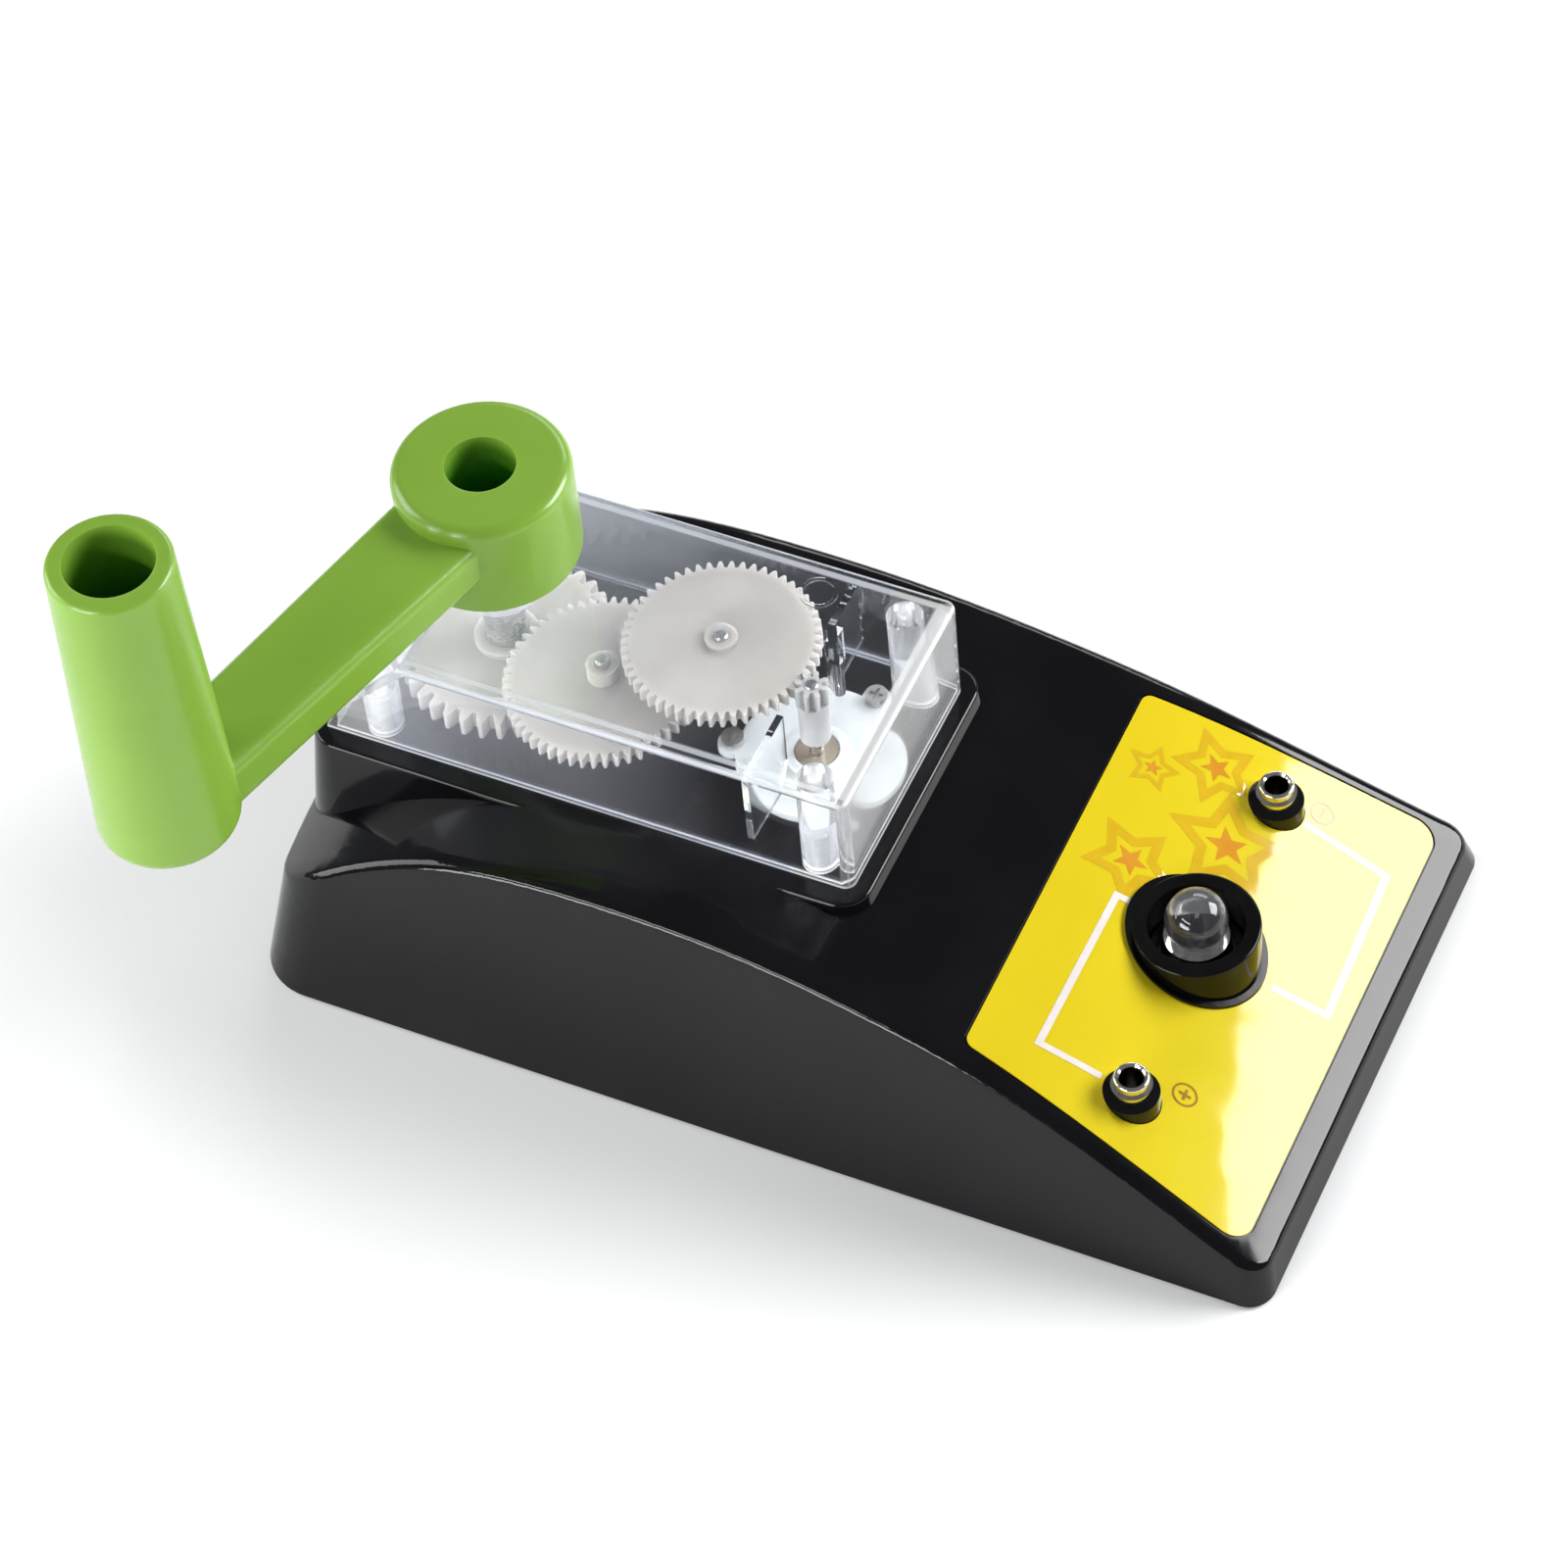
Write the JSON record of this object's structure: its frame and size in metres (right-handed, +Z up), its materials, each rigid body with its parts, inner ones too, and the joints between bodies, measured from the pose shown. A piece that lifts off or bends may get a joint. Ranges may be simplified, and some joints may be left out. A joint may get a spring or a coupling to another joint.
{
  "type": "hand crank generator",
  "caption": "Desktop hand crank generator: gloss wedge base, clear gearbox with a step-up gear train, long-armed crank with hollow grip, lamp and output sockets.",
  "frame": {"origin": "centre of the base's footprint, on the surface the generator stands on", "axes": "+Z up, +X from the crank end to the lamp end, +Y to the back; the base is symmetric about Y = 0"},
  "size_m": [0.1585, 0.1143, 0.1166],
  "materials": {
    "base_black": "gloss moulded ABS",
    "label_print": "glossy printed label",
    "plate_black": "satin moulded",
    "screw_steel": "zinc plated",
    "cover_clear": "clear polystyrene, polished",
    "axle_steel": "ground",
    "shaft_steel": "ground",
    "gear_natural": "translucent natural acetal",
    "crank_green": "gloss moulded",
    "motor_steel": "nickel plated",
    "magnet_grey": "sintered ferrite",
    "bearing_brass": "sintered",
    "cap_white": "moulded nylon",
    "tag_brass": "tinned",
    "retainer_milky": "translucent, satin",
    "armature_steel": "stacked laminations",
    "winding_copper": "enamelled copper",
    "pinion_white": "moulded acetal",
    "holder_black": "gloss moulded",
    "socket_brass": "rolled thread",
    "bulb_nickel": "nickel plated",
    "bulb_solder": "solder",
    "bulb_clear": "clear glass",
    "filament_wire": "drawn wire and glass bead",
    "socket_nickel": "nickel plated",
    "nut_steel": "zinc plated",
    "wire_red": "PVC insulation",
    "wire_black": "PVC insulation"
  },
  "bodies": {
    "base": {"base_shell": "base_black", "panel_label": "label_print", "bottom_plate": "plate_black", "bottom_screws": "screw_steel", "gear_cover": "cover_clear", "cover_screws": "screw_steel", "second_axle": "axle_steel", "third_axle": "axle_steel", "motor_can": "motor_steel", "motor_magnets": "magnet_grey", "motor_bearing": "bearing_brass", "motor_end_cap": "cap_white", "motor_tags": "tag_brass", "motor_retainer": "retainer_milky", "retainer_screws": "screw_steel", "lamp_holder": "holder_black", "lamp_socket_shell": "socket_brass", "lamp_contact": "tag_brass", "socket_front": "socket_nickel", "socket_back": "socket_nickel", "solder_tags": "tag_brass", "socket_nuts": "nut_steel", "wire_front": "wire_red", "wire_back": "wire_black", "lamp_wire_front": "wire_red", "lamp_wire_back": "wire_black"},
    "crank": {"crank_handle": "crank_green", "crank_shaft": "shaft_steel", "crank_gear": "gear_natural", "crank_screw": "screw_steel"},
    "second_gear": {"second_gear": "gear_natural"},
    "third_gear": {"third_gear": "gear_natural"},
    "rotor": {"motor_shaft": "axle_steel", "motor_armature": "armature_steel", "motor_windings": "winding_copper", "motor_commutator": "winding_copper", "motor_pinion": "pinion_white"},
    "lamp": {"bulb_base": "bulb_nickel", "bulb_tip": "bulb_solder", "bulb_glass": "bulb_clear", "bulb_filament": "filament_wire"}
  },
  "joints": [
    {"name": "crank_spin", "type": "hinge", "parent": "base", "child": "crank", "pos_m": [-0.0508, 0, 0.0594], "axis": [0, 0, 1], "continuous": true},
    {"name": "second_gear_spin", "type": "hinge", "parent": "base", "child": "second_gear", "pos_m": [-0.03365, -0.00395, 0.04], "axis": [0, 0, 1], "continuous": true},
    {"name": "third_gear_spin", "type": "hinge", "parent": "base", "child": "third_gear", "pos_m": [-0.0186, 0.00337, 0.044], "axis": [0, 0, 1], "continuous": true},
    {"name": "rotor_spin", "type": "hinge", "parent": "base", "child": "rotor", "pos_m": [-0.00347, 0, 0.025], "axis": [0, 0, 1], "continuous": true},
    {"name": "lamp_lift", "type": "slide", "parent": "base", "child": "lamp", "axis": [0, 0, 1], "range_m": [0, 0.02]}
  ],
  "couplings": [
    {"joint": "second_gear_spin", "follows": "crank_spin", "ratio": -4.5},
    {"joint": "third_gear_spin", "follows": "crank_spin", "ratio": 18.692},
    {"joint": "rotor_spin", "follows": "crank_spin", "ratio": -126.17}
  ]
}
